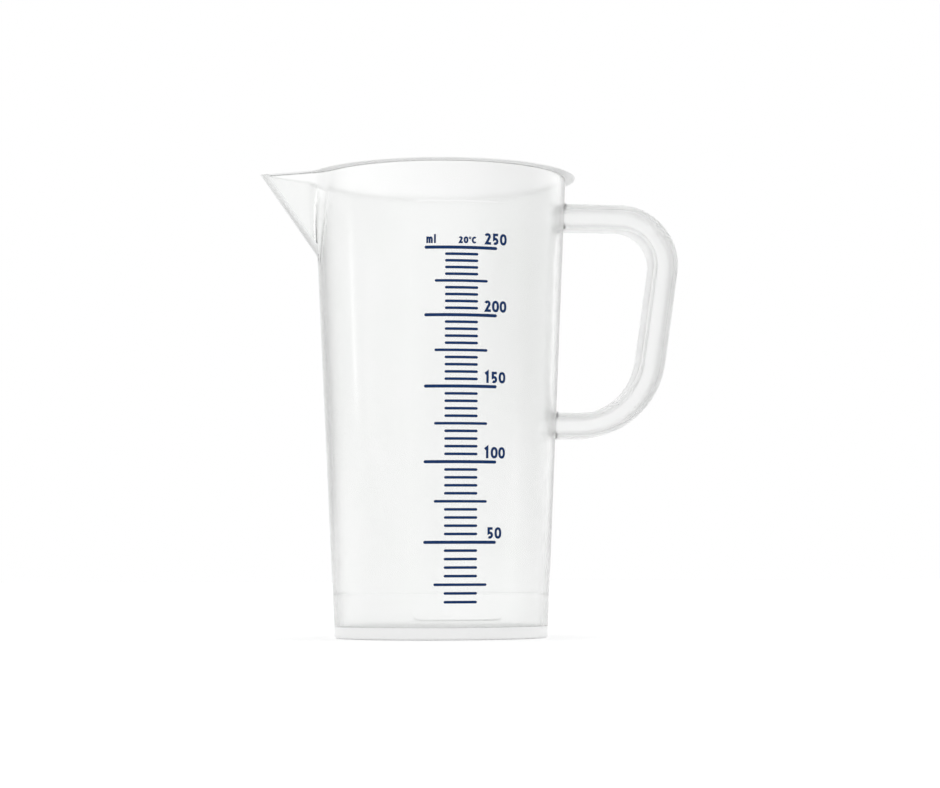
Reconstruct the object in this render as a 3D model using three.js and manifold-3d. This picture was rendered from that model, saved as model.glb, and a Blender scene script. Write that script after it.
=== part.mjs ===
// Measuring jug of natural polypropylene with a printed scale, 250 ml.
// Millimetres, +Z up. The handle points along +X, the spout along -X, and the scale faces -Y.
// The origin is the middle of the bounding box, on the plane that the jug stands on.
// Shapes are drawn round the cup's own axis, and the finished jug is then moved onto the origin.

import * as THREE from 'three';
import { ConvexGeometry } from 'three/addons/geometries/ConvexGeometry.js';
import { mergeVertices } from 'three/addons/utils/BufferGeometryUtils.js';
import Module from 'manifold-3d';

const wasm = await Module();
wasm.setup();

// Cup
const HEIGHT = 121; // table to rim
const BASE_RADIUS = 27.8; // outside of the wall at the table
const WALL = 1.3;
const FLOOR_TOP = 2.9; // inside of the floor above the table
const FLOOR_THICKNESS = 1.8;
const FOOT_WIDTH = 2.4; // ring that the jug stands on
const FOOT_ROUND = 0.8; // radius of the foot's outer edge

// Lip, which flares out of the wall's top
const LIP_RADIUS = 35.75;
const LIP_OVERHANG = 2.45; // lip's edge beyond the wall, at the rim
const RIM_RADIUS = LIP_RADIUS - LIP_OVERHANG; // outside of the wall at the rim
const LIP_HEIGHT = 4.2;
const LIP_EDGE = 0.9; // thickness at the outer edge

// Spout, a V of two plates whose front edge slopes from the wall up to the tip
const SPOUT_REACH = 11; // tip beyond the lip's edge
const SPOUT_HEIGHT = 20.2; // lower end of the front edge to the rim
const SPOUT_HALF_WIDTH = 12; // where the V meets the wall at the rim
const SPOUT_WALL = 1.2;
const SPOUT_NOSE = 0.3; // inside radius of the front edge

// Handle, a D of I-section: a web between an outer and an inner flange
const HANDLE_BELOW_LIP = 2.15; // lip's underside to the top of the upper arm
const HANDLE_HEIGHT = 62.3;
const HANDLE_REACH = 28.2; // outermost point beyond the lip's edge
const HANDLE_DEPTH = 6.7; // section, from the outer face to the inner face
const HANDLE_WIDTH = 8; // flanges, along Y
const HANDLE_LEAN = THREE.MathUtils.degToRad(8.5); // grip, from the vertical
const HANDLE_TOP_RADIUS = 15.7; // outer face
const HANDLE_BOTTOM_RADIUS = 23.5;
const FLANGE = 1.15;
const WEB = 2.4;

// Printed scale
const MAJOR_VOLUME = 50; // ml from one longest line to the next
const MAJOR_COUNT = 5;
const MARKS_PER_MAJOR = 10;
const MARKS_LEFT_OUT = 2; // at the bottom of the cup
const MAJOR_LENGTH = 18.8;
const MIDDLE_LENGTH = 13.6;
const MINOR_LENGTH = 8.5;
const MAJOR_INK = 0.8; // height of a line's ink
const MINOR_INK = 0.68;
const INK_THICKNESS = 0.15;
const SCALE_MARGIN = 2; // bare wall between the highest line and the lip
const SCALE_AZIMUTH = THREE.MathUtils.degToRad(-90);

// Clearances between neighbours that are cut to each other, and between ink and wall
const SEAM = 0.3;
const INK_GAP = 0.1;

// Fineness of round shapes
const CUP_SEGMENTS = 72;
const LIP_SEGMENTS = 5;
const FOOT_SEGMENTS = 3;
const NOSE_SEGMENTS = 6;
const BEND_SEGMENTS = 12;
const INK_SEGMENTS = 8;

const naturalPolypropylene = new THREE.MeshStandardMaterial({
  color: '#e9ecea',
  roughness: 0.38,
  metalness: 0,
});
const blueInk = new THREE.MeshStandardMaterial({
  color: '#17356f',
  roughness: 0.55,
  metalness: 0,
});

const floorUnderside = FLOOR_TOP - FLOOR_THICKNESS;
const lipUnderside = HEIGHT - LIP_HEIGHT;
const taper = (RIM_RADIUS - BASE_RADIUS) / HEIGHT;
const outerRadius = (z) => BASE_RADIUS + taper * z;
const innerRadius = (z) => outerRadius(z) - WALL;

// Points on an arc about (x, y), from one angle to another, both included.
function arc(x, y, radius, from, to, segments) {
  return Array.from({ length: segments + 1 }, (_, i) => {
    const angle = from + ((to - from) * i) / segments;
    return new THREE.Vector2(x + radius * Math.cos(angle), y + radius * Math.sin(angle));
  });
}

// A profile of (radius, height) points turned about the cup's axis. It runs up the outside.
function turned(profile) {
  return new THREE.LatheGeometry(profile, CUP_SEGMENTS).rotateX(Math.PI / 2);
}

// A turned ring, whose profile closes on itself.
function turnedRing(profile) {
  return turned([...profile, profile[0].clone()]);
}

// A solid cone that follows the cup's outside, moved in by inset.
function cone(inset, low, high) {
  return turned([
    new THREE.Vector2(0, low),
    new THREE.Vector2(outerRadius(low) - inset, low),
    new THREE.Vector2(outerRadius(high) - inset, high),
    new THREE.Vector2(0, high),
  ]);
}

// A closed geometry as a solid for cutting. Triangles that shrink to a line on the axis are dropped.
function toSolid(geometry) {
  const bare = geometry.clone();
  bare.deleteAttribute('normal');
  bare.deleteAttribute('uv');
  const merged = mergeVertices(bare);
  const corners = Array.from(merged.index.array);
  const triVerts = corners.filter((_, i) => {
    const [a, b, c] = corners.slice(i - (i % 3), i - (i % 3) + 3);
    return a !== b && b !== c && c !== a;
  });
  const mesh = new wasm.Mesh({
    numProp: 3,
    vertProperties: merged.attributes.position.array,
    triVerts: Uint32Array.from(triVerts),
  });
  return new wasm.Manifold(mesh);
}

// The geometry of one piece with others cut out of it.
function cut(geometry, ...tools) {
  const solid = tools.reduce((rest, tool) => rest.subtract(toSolid(tool)), toSolid(geometry));
  const { vertProperties, triVerts } = solid.getMesh();
  const result = new THREE.BufferGeometry();
  result.setAttribute('position', new THREE.BufferAttribute(vertProperties, 3));
  result.setIndex(new THREE.BufferAttribute(triVerts, 1));
  result.computeVertexNormals();
  return result;
}

// Spout: every level section is a V with the same angles and a round nose. Only the nose's centre
// moves with height, along the sloping front edge.
const spoutLow = HEIGHT - SPOUT_HEIGHT;
const spoutTip = LIP_RADIUS + SPOUT_REACH; // from the cup's axis
const spoutCornerX = Math.sqrt(RIM_RADIUS ** 2 - SPOUT_HALF_WIDTH ** 2);
const spoutSlope = (spoutTip - outerRadius(spoutLow)) / SPOUT_HEIGHT;

// Angle of a plate's level normal, and the plates' thickness along it. The plates lean, so that
// thickness is more than the true one. The nose's outside radius depends on it, so both settle
// together in a few passes.
let spoutLevelWall = SPOUT_WALL;
let spoutNormal = 0;
for (let pass = 0; pass < 8; pass += 1) {
  const nose = SPOUT_NOSE + spoutLevelWall;
  const run = spoutTip - nose - spoutCornerX;
  const toCorner = Math.hypot(run, SPOUT_HALF_WIDTH);
  spoutNormal = Math.atan2(SPOUT_HALF_WIDTH, run) + Math.acos(nose / toCorner);
  spoutLevelWall = SPOUT_WALL * Math.hypot(1, spoutSlope * Math.cos(spoutNormal));
}
const spoutNoseOutside = SPOUT_NOSE + spoutLevelWall;
const spoutBackX = -innerRadius(spoutLow) / 2; // well inside the cup, so that a cut goes through the wall

// The space in front of the cup between two heights that the spout's outside holds, moved in by inset.
function spoutWedge(inset, low, high) {
  const nose = spoutNoseOutside - inset;
  const points = [low, high].flatMap((z) => {
    const noseX = spoutNoseOutside - spoutTip + spoutSlope * (HEIGHT - z);
    const backY = (nose - Math.cos(spoutNormal) * (spoutBackX - noseX)) / Math.sin(spoutNormal);
    const round = arc(noseX, 0, nose, spoutNormal, 2 * Math.PI - spoutNormal, NOSE_SEGMENTS);
    const section = [...round, new THREE.Vector2(spoutBackX, backY), new THREE.Vector2(spoutBackX, -backY)];
    return section.map((p) => new THREE.Vector3(p.x, p.y, z));
  });
  return new ConvexGeometry(points);
}

const spoutClearance = spoutWedge(-SEAM, spoutLow - SEAM, HEIGHT + WALL);
const cupInside = cone(WALL, 0, HEIGHT + WALL);
const cupClearance = cone(-SEAM, 0, HEIGHT);

function footRing() {
  const inside = outerRadius(0) - FOOT_WIDTH;
  const roundX = outerRadius(FOOT_ROUND) - FOOT_ROUND;
  return turnedRing([
    new THREE.Vector2(inside, 0),
    ...arc(roundX, FOOT_ROUND, FOOT_ROUND, -Math.PI / 2, 0, FOOT_SEGMENTS),
    new THREE.Vector2(outerRadius(floorUnderside), floorUnderside),
    new THREE.Vector2(inside, floorUnderside),
  ]);
}

function bodyWall() {
  const wall = turnedRing([
    new THREE.Vector2(outerRadius(FLOOR_TOP), FLOOR_TOP),
    new THREE.Vector2(outerRadius(lipUnderside), lipUnderside),
    new THREE.Vector2(innerRadius(lipUnderside), lipUnderside),
    new THREE.Vector2(innerRadius(FLOOR_TOP), FLOOR_TOP),
  ]);
  return cut(wall, spoutClearance);
}

// One side of the lip: a quarter of an ellipse, upright where it leaves the wall and level at the edge.
function lipFlare(run, rise) {
  return arc(0, 0, 1, Math.PI, Math.PI / 2, LIP_SEGMENTS).map(
    (p) => new THREE.Vector2(LIP_RADIUS + run * p.x, lipUnderside + rise * p.y),
  );
}

// The lip carries the wall on outwards, and thins towards its edge.
function rimLip() {
  const outside = lipFlare(LIP_RADIUS - outerRadius(lipUnderside), LIP_HEIGHT - LIP_EDGE);
  const inside = lipFlare(LIP_RADIUS - innerRadius(lipUnderside), LIP_HEIGHT);
  return cut(turnedRing([...outside, ...inside.reverse()]), spoutClearance);
}

function pouringSpout() {
  const outside = spoutWedge(0, spoutLow, HEIGHT);
  const inside = spoutWedge(spoutLevelWall, spoutLow - SPOUT_WALL, HEIGHT + SPOUT_WALL);
  return cut(outside, inside, cupInside);
}

// Handle: both bends are round, and the grip's outer face is tangent to them.
const handleTop = lipUnderside - HANDLE_BELOW_LIP;
const handleBottom = handleTop - HANDLE_HEIGHT;
const topBend = new THREE.Vector2(
  LIP_RADIUS + HANDLE_REACH - HANDLE_TOP_RADIUS,
  handleTop - HANDLE_TOP_RADIUS,
);
const gripNormal = new THREE.Vector2(Math.cos(HANDLE_LEAN), -Math.sin(HANDLE_LEAN));
// How far the grip's outer face is from the origin, along its normal.
const gripFace = gripNormal.dot(topBend) + HANDLE_TOP_RADIUS;
const bottomBendZ = handleBottom + HANDLE_BOTTOM_RADIUS;
const bottomBend = new THREE.Vector2(
  (gripFace - HANDLE_BOTTOM_RADIUS - gripNormal.y * bottomBendZ) / gripNormal.x,
  bottomBendZ,
);

// The band of the handle between two depths below its outer face, of a width along Y.
// It starts on the cup's axis, and the cup is then cut out of it.
function handleBand(outer, inner, width) {
  const band = new THREE.Shape();
  band.moveTo(0, handleTop - outer);
  band.absarc(topBend.x, topBend.y, HANDLE_TOP_RADIUS - outer, Math.PI / 2, -HANDLE_LEAN, true);
  band.absarc(bottomBend.x, bottomBend.y, HANDLE_BOTTOM_RADIUS - outer, -HANDLE_LEAN, -Math.PI / 2, true);
  band.lineTo(0, handleBottom + outer);
  band.lineTo(0, handleBottom + inner);
  band.absarc(bottomBend.x, bottomBend.y, HANDLE_BOTTOM_RADIUS - inner, -Math.PI / 2, -HANDLE_LEAN, false);
  band.absarc(topBend.x, topBend.y, HANDLE_TOP_RADIUS - inner, -HANDLE_LEAN, Math.PI / 2, false);
  band.lineTo(0, handleTop - inner);
  band.closePath();
  const solid = new THREE.ExtrudeGeometry(band, {
    depth: width,
    bevelEnabled: false,
    curveSegments: BEND_SEGMENTS,
  });
  return cut(solid.translate(0, 0, -width / 2).rotateX(Math.PI / 2), cupClearance);
}

// Volume of the cup in ml from the floor up to a height.
function volumeBelow(z) {
  const low = innerRadius(FLOOR_TOP);
  const high = innerRadius(z);
  return ((Math.PI / 3) * (z - FLOOR_TOP) * (low * low + low * high + high * high)) / 1000;
}

// Height at which the cup holds a volume, found by halving.
function heightOf(volume) {
  let low = FLOOR_TOP;
  let high = HEIGHT;
  for (let pass = 0; pass < 40; pass += 1) {
    const middle = (low + high) / 2;
    if (volumeBelow(middle) < volume) low = middle;
    else high = middle;
  }
  return (low + high) / 2;
}

// One line of ink, bent round the wall. Its middle is at the height of its volume.
function inkLine(z, length, ink) {
  const inside = outerRadius(z + ink / 2) + INK_GAP;
  const halfAngle = length / 2 / inside;
  const plan = new THREE.Shape();
  plan.absarc(0, 0, inside + INK_THICKNESS, SCALE_AZIMUTH - halfAngle, SCALE_AZIMUTH + halfAngle, false);
  plan.absarc(0, 0, inside, SCALE_AZIMUTH + halfAngle, SCALE_AZIMUTH - halfAngle, true);
  plan.closePath();
  const line = new THREE.ExtrudeGeometry(plan, {
    depth: ink,
    bevelEnabled: false,
    curveSegments: INK_SEGMENTS,
  });
  return line.translate(0, 0, z - ink / 2);
}

const jug = new THREE.Group();

function add(name, geometry, material) {
  const mesh = new THREE.Mesh(geometry, material);
  mesh.name = name;
  jug.add(mesh);
}

add('foot_ring', footRing(), naturalPolypropylene);
add('floor_disc', cone(0, floorUnderside, FLOOR_TOP), naturalPolypropylene);
add('body_wall', bodyWall(), naturalPolypropylene);
add('rim_lip', rimLip(), naturalPolypropylene);
add('pouring_spout', pouringSpout(), naturalPolypropylene);
const outerFlange = handleBand(0, FLANGE, HANDLE_WIDTH);
const web = handleBand(FLANGE, HANDLE_DEPTH - FLANGE, WEB);
const innerFlange = handleBand(HANDLE_DEPTH - FLANGE, HANDLE_DEPTH, HANDLE_WIDTH);
add('handle_outer_flange', outerFlange, naturalPolypropylene);
add('handle_web', web, naturalPolypropylene);
add('handle_inner_flange', innerFlange, naturalPolypropylene);

// The scale: a long line at each major volume, a middle one halfway, short ones between.
const markVolume = MAJOR_VOLUME / MARKS_PER_MAJOR;
for (let mark = MARKS_LEFT_OUT + 1; mark <= MAJOR_COUNT * MARKS_PER_MAJOR; mark += 1) {
  const z = heightOf(mark * markVolume);
  if (z > lipUnderside - SCALE_MARGIN) break;
  const isMajor = mark % MARKS_PER_MAJOR === 0;
  const isMiddle = mark % MARKS_PER_MAJOR === Math.floor(MARKS_PER_MAJOR / 2);
  const length = isMajor ? MAJOR_LENGTH : isMiddle ? MIDDLE_LENGTH : MINOR_LENGTH;
  const name = `line_${String(Math.round(mark * markVolume)).padStart(3, '0')}_ml`;
  add(name, inkLine(z, length, isMajor ? MAJOR_INK : MINOR_INK), blueInk);
}

// The jug's box is centred on the origin.
const box = new THREE.Box3().setFromObject(jug);
jug.position.x = -(box.min.x + box.max.x) / 2;

export default jug;
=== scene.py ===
"""Looks of a measuring jug of natural polypropylene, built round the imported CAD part.

The jug is one moulding with a printed scale. Every surface is worked out in metres, in the part's
frame: +Z up, the spout towards -X, the handle towards +X and the scale towards -Y.
"""

import math

import bpy
import numpy as np
from bpy.props import FloatProperty, PointerProperty, StringProperty
from mathutils import Matrix, Vector


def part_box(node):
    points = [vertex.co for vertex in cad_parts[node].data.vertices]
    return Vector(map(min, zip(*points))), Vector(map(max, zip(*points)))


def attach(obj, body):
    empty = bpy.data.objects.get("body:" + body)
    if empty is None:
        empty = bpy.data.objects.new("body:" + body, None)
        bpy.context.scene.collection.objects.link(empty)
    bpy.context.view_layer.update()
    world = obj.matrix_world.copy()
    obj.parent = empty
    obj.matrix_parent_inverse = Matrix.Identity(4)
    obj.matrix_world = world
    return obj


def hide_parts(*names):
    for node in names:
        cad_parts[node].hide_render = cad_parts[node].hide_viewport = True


bl_info = {
    "name": "Measuring jug",
    "version": (1, 0, 0),
    "blender": (4, 5, 0),
    "location": "3D View > Sidebar > Jug",
    "description": "Builds a moulded measuring jug with a printed scale, and its stage",
    "category": "Add Mesh",
}

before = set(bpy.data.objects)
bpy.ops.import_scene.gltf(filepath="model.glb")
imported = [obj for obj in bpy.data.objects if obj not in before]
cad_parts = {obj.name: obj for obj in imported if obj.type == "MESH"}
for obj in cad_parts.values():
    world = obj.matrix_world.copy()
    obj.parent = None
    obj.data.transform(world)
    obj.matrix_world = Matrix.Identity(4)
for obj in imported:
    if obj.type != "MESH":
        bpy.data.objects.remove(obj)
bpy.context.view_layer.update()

MM = 0.001
BODY = "root"

MOULDED_NODES = (
    "foot_ring",
    "floor_disc",
    "body_wall",
    "rim_lip",
    "pouring_spout",
    "handle_outer_flange",
    "handle_web",
    "handle_inner_flange",
)
FIGURES = (50, 100, 150, 200, 250)
LINE_NODES = sorted(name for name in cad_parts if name.startswith("line_"))

# Power of sine and cosine in the lip's section: 1 is an ellipse, less hugs the corner.
SQUARE = 0.5

# The spout's fillet narrows with this power of the share of the spout's height that lies below, and
# the least share keeps it from closing.
FILLET_POWER = 0.3
FILLET_LEAST = 0.01

# How far past the wall's surface a face has to lie to count as spout or handle.
PAST_WALL = 0.15 * MM

# Finishes of the plastic: the share of light that passes, and the least and the most roughness.
# Satin is the handle's, solid that of the foot, the floor and the lip, and edge the spout's front's.
FINISHES = {
    "thin_wall": (0.975, 0.1, 0.16),
    "satin": (0.96, 0.4, 0.5),
    "solid": (0.04, 0.25, 0.35),
    "edge": (0.3, 0.25, 0.35),
}

# Columns of the cup's grid before the close ones are added, and the least angle between two.
COLUMNS = 250
CLOSEST_COLUMNS = math.radians(0.06)

# Section of printed ink: places across it from -1 to 1, and heights from its back to its top.
INK_HUMP = np.array([(-1, 0), (-1, 0.6), (-0.75, 1), (0.75, 1), (1, 0.6), (1, 0)])

# Level of the studio's wall by the turn from straight behind the jug towards the right, in degrees.
STUDIO_WALL = (
    (-180, 1.1),
    (-150, 1.15),
    (-120, 1.15),
    (-90, 1.05),
    (-60, 0.5),
    (-40, 0.6),
    (-20, 1.03),
    (-3, 1.05),
    (-1.1, 1.0),
    (0.5, 0.935),
    (2.5, 0.94),
    (5, 0.975),
    (20, 0.82),
    (40, 1.55),
    (60, 1.1),
    (90, 0.1),
    (120, 0.2),
    (150, 0.85),
    (180, 1.1),
)

# Sine of the elevation where the studio's wall starts to turn into its ceiling, and where it has.
CEILING_LOW = 0.3
CEILING_HIGH = 0.85

# Light that the paper lacks to white, as seen directly, and as seen through the plastic, where the
# smaller lift is painted shade on the paper behind and under the jug.
PAPER_LIFT = 0.23
PAPER_LIFT_THROUGH_PAINTED_SHADE = 0.13

# Radii of the floor's rings in metres, and the points of each.
FLOOR_RINGS = (0.05, 0.15, 0.4, 1.0, 3.0, 8.0)
FLOOR_POINTS = 64

# Softbox at the jug's left, in metres and watts.
STRIP_AWAY = 0.8
STRIP_HEIGHT = 0.115
STRIP_AIM_HEIGHT = 0.09
STRIP_WIDTH = 0.05
STRIP_TALL = 0.1
STRIP_POWER = 0.03

# Width in millimetres of the sensor that the lens is stated for.
SENSOR_WIDTH = 36.0

# The cup's axis, from the floor's box. Shapes are worked out round it and moved onto it at the end.
AXIS_X = sum(corner.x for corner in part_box("floor_disc")) / 2


def length(name, description, millimetres):
    """A length property, given in millimetres and kept in metres."""
    return FloatProperty(
        name=name,
        description=description,
        default=millimetres * MM,
        min=0.0,
        precision=5,
        unit="LENGTH",
    )


def colour(name, description, hex_code):
    """A colour property that is written as an sRGB hex code."""
    return StringProperty(name=name, description=description, default=hex_code)


class CupSizes(bpy.types.PropertyGroup):
    """Sizes of the cup and of the lip round its rim."""

    height: length("Height", "From the table to the rim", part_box("rim_lip")[1].z / MM)
    base_radius: length("Base radius", "Outside of the wall at the table", 27.8)
    lip_radius: length("Lip radius", "Cup's axis to the lip's edge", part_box("rim_lip")[1].y / MM)
    lip_overhang: length("Lip overhang", "Lip's edge beyond the wall", 2.45)
    lip_height: length("Lip height", "Height over which the wall flares", 0.4)
    lip_edge: length("Lip edge", "Thickness of the lip at its edge", 0.25)
    wall: length("Wall", "Thickness of the wall", 1.3)
    floor_top: length("Floor top", "Inside of the floor above the table", 2.9)
    floor_underside: length("Floor underside", "Underside of the floor above the table", 1.1)
    foot_width: length("Foot width", "Ring that the jug stands on", 2.4)
    foot_round: length("Foot round", "Radius of the foot's outer edge", 0.8)
    floor_round: length("Floor round", "Radius between floor and wall, inside", 0.2)
    edge_round: length("Edge round", "Radius of the rim's edges", 0.1)
    panel_width: length("Panel width", "Flat field that carries the print, round the wall", 25.5)
    panel_low: length("Panel low", "Lower edge of the field above the table", 5.0)
    panel_high: length("Panel high", "Upper edge of the field above the table", 110.4)
    panel_corner: length("Panel corner", "Corner radius of the field", 3.0)
    panel_depth: length("Panel depth", "How far the field is sunk into the wall", 0.03)
    ring_height: length("Ring height", "Fine ring on the inside above the table", 11.6)
    ring_depth: length("Ring depth", "Depth of the fine ring", 0.05)


class SpoutSizes(bpy.types.PropertyGroup):
    """Sizes of the pouring spout, a V of two plates with a sloping front edge."""

    reach: length("Reach", "Tip beyond the lip's edge", 11.8)
    height: length("Height", "Lower end of the front edge to the rim", 21.6)
    half_width: length("Half width", "Where the V meets the wall, at the rim", 12.0)
    wall: length("Wall", "Thickness of the plates", 1.2)
    nose: length("Nose", "Inside radius of the front edge", 0.3)
    fillet: length("Fillet", "Reach of the rounding between spout and wall, at the rim", 2.4)
    front_band: length("Front band", "Solid plastic behind the front edge", 1.75)


class HandleSizes(bpy.types.PropertyGroup):
    """Sizes of the handle, a D of I-section."""

    below_lip: length("Below lip", "Foot of the lip's flare to the top of the upper arm", 5.95)
    height: length("Height", "Over both arms", 62.3)
    reach: length("Reach", "Outermost point beyond the lip's edge", 28.2)
    depth: length("Depth", "Section from the outer to the inner face", 6.7)
    width: length("Width", "Flanges, along Y", 8.0)
    top_radius: length("Top radius", "Upper bend at the outer face", 15.7)
    bottom_radius: length("Bottom radius", "Lower bend at the outer face", 23.5)
    flange: length("Flange", "Thickness of the flanges at their edges", 1.05)
    web: length("Web", "Thickness of the web", 2.4)
    web_fillet: length("Web fillet", "Radius between web and flange", 1.2)
    edge_round: length("Edge round", "Radius of the flanges' edges", 0.45)
    root_fillet: length("Root fillet", "Radius between handle and wall", 1.0)
    root_sink: length("Root sink", "How far the arms' ends lie inside the wall", 0.55)
    lean: FloatProperty(
        name="Lean",
        description="Grip from the vertical",
        default=math.radians(8.5),
        subtype="ANGLE",
    )


class PrintSizes(bpy.types.PropertyGroup):
    """Sizes of the printed scale."""

    ink: length("Ink", "How far the ink stands proud of the wall", 0.05)
    ink_sink: length("Ink sink", "How far the ink's back lies under the wall's surface", 0.03)
    figure_height: length("Figure height", "Height of the figures", 2.9)
    figure_rise: length("Figure rise", "Middle of a line to the lower edge of its figure", 0.9)
    figure_middle: length("Figure middle", "Middle of the figures past the scale's", 9.05)
    figure_ink: length("Figure ink", "Width of the figures' strokes", 0.66)
    unit_height: length("Unit height", "Height of the unit's ascender", 2.25)
    unit_rise: length("Unit rise", "Middle of the top line to the lower edge of the unit", 1.02)
    unit_middle: length("Unit middle", "Middle of the unit before the scale's", 7.8)
    note_height: length("Note height", "Height of the temperature", 1.75)
    note_middle: length("Note middle", "Middle of the temperature past the scale's", 1.4)
    middle: length("Middle", "Scale's middle from straight opposite -Y towards the handle", 0.2)
    small_ink: length("Small ink", "Width of the unit's and the temperature's strokes", 0.48)


class JugColours(bpy.types.PropertyGroup):
    """Colours as sRGB hex codes."""

    plastic: colour("Plastic", "Natural polypropylene", "#FFFFFF")
    plastic_haze: colour("Plastic haze", "Natural polypropylene where it is hazier", "#FCFDFC")
    ink: colour("Ink", "Screen-print ink", "#082650")
    ink_thin: colour("Thin ink", "Screen-print ink where it lies thin", "#10376C")
    floor: colour("Floor", "Paper that the jug stands on", "#F4F4F4")


class StageSizes(bpy.types.PropertyGroup):
    """The camera's place, worked out from the photograph."""

    azimuth: FloatProperty(
        name="Azimuth",
        description="Camera round the cup's axis, from -Y towards +X",
        default=math.radians(-9.5),
        subtype="ANGLE",
    )
    roll: FloatProperty(
        name="Roll",
        description="Camera about its own axis",
        default=-0.0040,
        subtype="ANGLE",
    )
    distance: length("Distance", "Camera to the cup's axis", 650.0)
    eye_height: length("Eye height", "Camera above the table", 15.7)
    aim_height: length("Aim height", "Point aimed at above the table", 63.92)
    aim_right: length("Aim right", "Point aimed at to the right of the cup's axis", 7.786)
    lens: FloatProperty(
        name="Lens",
        description="Focal length in millimetres on a 36 mm wide sensor",
        default=94.75,
    )


# Helpers for meshes and materials


def smooth_max(first, second, reach):
    """The larger of two arrays. Where they differ by less than reach, a parabola rounds the corner."""
    near = np.clip(1 - np.abs(first - second) / reach, 0, 1)
    return np.maximum(first, second) + reach * near**2 / 4


def smooth_step(low, high, value):
    """0 below low, 1 above high, and 3t^2 - 2t^3 between them."""
    part = np.clip((value - low) / (high - low), 0, 1)
    return part * part * (3 - 2 * part)


def on_axis(radius, angle, z):
    """Points at a radius, at an angle from the spout's middle towards -Y, and at a height."""
    x = AXIS_X - radius * np.cos(angle)
    y = -radius * np.sin(angle)
    return np.stack(np.broadcast_arrays(x, y, z), axis=-1)


def grid_faces(rows, columns, ring=False):
    """Quads of a grid whose columns close on themselves. In a ring, its rows do so too."""
    row, column = np.meshgrid(np.arange(rows if ring else rows - 1), np.arange(columns), indexing="ij")
    next_row = (row + 1) % rows
    next_column = (column + 1) % columns
    corners = (
        row * columns + column,
        row * columns + next_column,
        next_row * columns + next_column,
        next_row * columns + column,
    )
    return np.stack(corners, axis=-1).reshape(-1, 4)


def new_object(name, points, faces, material):
    """An object of a mesh whose place is in its points, shaded smooth."""
    mesh = bpy.data.meshes.new(name)
    mesh.from_pydata(points.reshape(-1, 3).tolist(), [], faces)
    mesh.validate()
    mesh.shade_smooth()
    mesh.materials.append(material)
    piece = bpy.data.objects.new(name, mesh)
    bpy.context.scene.collection.objects.link(piece)
    return piece


def linear(hex_code):
    """An sRGB hex code as linear red, green, blue and an alpha of 1."""
    values = np.array([int(hex_code[i : i + 2], 16) for i in (1, 3, 5)]) / 255
    curve = np.where(values <= 0.04045, values / 12.92, ((values + 0.055) / 1.055) ** 2.4)
    return (*curve.tolist(), 1.0)


def add_node(tree, kind, settings=None, **inputs):
    """A node of a kind with its settings. An input is a value, or another node's output to link."""
    node = tree.nodes.new(kind)
    for key, value in (settings or {}).items():
        setattr(node, key, value)
    for key, value in inputs.items():
        socket = node.inputs[int(key[1:])] if key[1:].isdigit() else node.inputs[key.replace("_", " ")]
        if isinstance(value, bpy.types.NodeSocket):
            tree.links.new(value, socket)
        else:
            socket.default_value = value
    return node


def new_material(name):
    """An empty node material, and its tree."""
    material = bpy.data.materials.new(name)
    material.use_nodes = True
    material.node_tree.nodes.clear()
    return material, material.node_tree


def natural_polypropylene(colours, finish):
    """Natural polypropylene, injection moulded, in one of its finishes.

    Unpigmented, so it is nearly clear in a thin wall and milky where it is thick, since it scatters
    light all through, and satin to glossy where it lay against the polished mould.
    """
    clear, rough_low, rough_high = FINISHES[finish]
    material, tree = new_material(f"natural_polypropylene_{finish}")
    place = add_node(tree, "ShaderNodeTexCoord").outputs["Object"]
    # Haze drifts over about 14 mm, as the melt flowed, and the mould's polish over about 3 mm.
    flow_size = 14 * MM
    polish_size = 3 * MM
    flow = add_node(tree, "ShaderNodeTexNoise", Vector=place, Scale=1 / flow_size, Detail=2.0)
    polish = add_node(tree, "ShaderNodeTexNoise", Vector=place, Scale=1 / polish_size, Detail=3.0)
    tint = add_node(
        tree,
        "ShaderNodeMix",
        {"data_type": "RGBA"},
        Factor=flow.outputs["Fac"],
        _6=linear(colours.plastic),
        _7=linear(colours.plastic_haze),
    )
    rough = add_node(
        tree,
        "ShaderNodeMapRange",
        Value=polish.outputs["Fac"],
        To_Min=rough_low,
        To_Max=rough_high,
    )
    # The polished steel leaves a skin with faint waves of about 0.8 mm.
    skin_size = 0.8 * MM
    skin = add_node(tree, "ShaderNodeTexNoise", Vector=place, Scale=1 / skin_size, Detail=2.0)
    relief = add_node(
        tree,
        "ShaderNodeBump",
        Strength=0.015,
        Distance=0.02 * MM,
        Height=skin.outputs["Fac"],
    )
    shader = add_node(
        tree,
        "ShaderNodeBsdfPrincipled",
        Base_Color=tint.outputs[2],
        Roughness=rough.outputs[0],
        Normal=relief.outputs[0],
        IOR=1.49,
        Transmission_Weight=clear,
    )
    add_node(tree, "ShaderNodeOutputMaterial", Surface=shader.outputs[0])
    return material


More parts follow.
